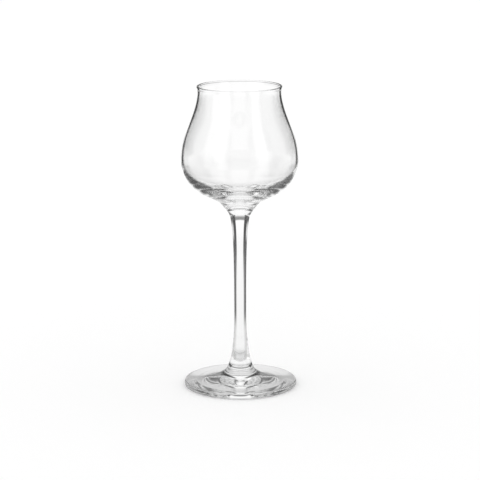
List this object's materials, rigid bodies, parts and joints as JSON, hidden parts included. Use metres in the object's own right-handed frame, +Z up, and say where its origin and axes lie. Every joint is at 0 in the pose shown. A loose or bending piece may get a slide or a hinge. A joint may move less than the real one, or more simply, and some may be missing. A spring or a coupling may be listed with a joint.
{
  "type": "cordial glass",
  "caption": "Clear stemmed cordial glass: a tulip bowl with a narrow neck and thick base, on a slim drawn stem and a round foot.",
  "frame": {"origin": "centre of the foot, on the surface that the glass stands on", "axes": "+Z up along the stem, from the foot to the rim; the glass is round, so X and Y are free"},
  "size_m": [0.0612, 0.0612, 0.16],
  "materials": {
    "bowl_glass": "clear crystal glass, blown and fire-polished",
    "stem_glass": "clear crystal glass, drawn and fire-polished",
    "foot_glass": "clear crystal glass, pressed and fire-polished"
  },
  "bodies": {
    "root": {"bowl": "bowl_glass", "stem": "stem_glass", "foot": "foot_glass"}
  },
  "joints": []
}
